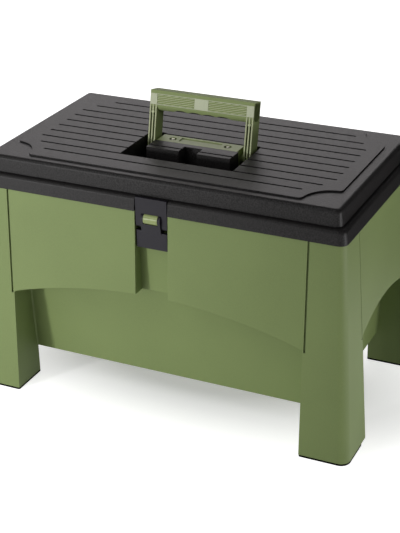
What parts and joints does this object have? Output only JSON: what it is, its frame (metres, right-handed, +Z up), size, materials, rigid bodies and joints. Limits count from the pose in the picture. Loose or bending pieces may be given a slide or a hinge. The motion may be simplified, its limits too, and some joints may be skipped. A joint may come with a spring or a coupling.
{
  "type": "storage stool",
  "caption": "Step stool with a storage tub between splayed legs, a hinged grooved tread for a lid, a folding carrying handle and a draw latch.",
  "frame": {"origin": "on the floor under the middle of the stool", "axes": "+X along the length to the viewer's right, -Y to the latch at the front, +Z up"},
  "size_m": [0.5, 0.3, 0.366],
  "materials": {
    "green_shell": "fine grain",
    "green_tub": "fine grain",
    "collar_black": "grained",
    "lid_black": "grained",
    "handle_green": "satin",
    "retainer_green": "satin",
    "latch_black": "smooth",
    "foot_rubber": "matte",
    "steel": "plated"
  },
  "bodies": {
    "base": {"leg_frame": "green_shell", "storage_tub": "green_tub", "collar": "collar_black", "collar_screws": "steel", "hinge_pin_left": "steel", "hinge_pin_right": "steel", "foot_front_left": "foot_rubber", "foot_front_right": "foot_rubber", "foot_rear_left": "foot_rubber", "foot_rear_right": "foot_rubber", "latch_pivot_pin": "steel"},
    "lid": {"lid": "lid_black", "handle_retainer": "retainer_green", "retainer_screws": "steel"},
    "handle": {"handle": "handle_green"},
    "latch_lever": {"latch_lever": "latch_black", "latch_link_pins": "steel"},
    "latch_hook": {"latch_hook": "latch_black"}
  },
  "joints": [
    {"name": "lid_hinge", "type": "hinge", "parent": "base", "child": "lid", "pos_m": [0, 0.141, 0.2885], "axis": [-1, 0, 0], "range_deg": [0, 100]},
    {"name": "handle_fold", "type": "hinge", "parent": "lid", "child": "handle", "pos_m": [0, 0.003, 0.296], "axis": [1, 0, 0], "range_deg": [0, 102]},
    {"name": "latch_lever_swing", "type": "hinge", "parent": "base", "child": "latch_lever", "pos_m": [0, -0.131, 0.2615], "axis": [-1, 0, 0], "range_deg": [0, 95]},
    {"name": "latch_hook_tilt", "type": "hinge", "parent": "latch_lever", "child": "latch_hook", "pos_m": [0, -0.1305, 0.2538], "axis": [-1, 0, 0], "range_deg": [-105, 0]}
  ],
  "couplings": [
    {"joint": "latch_hook_tilt", "follows": "latch_lever_swing", "ratio": -1.1}
  ]
}
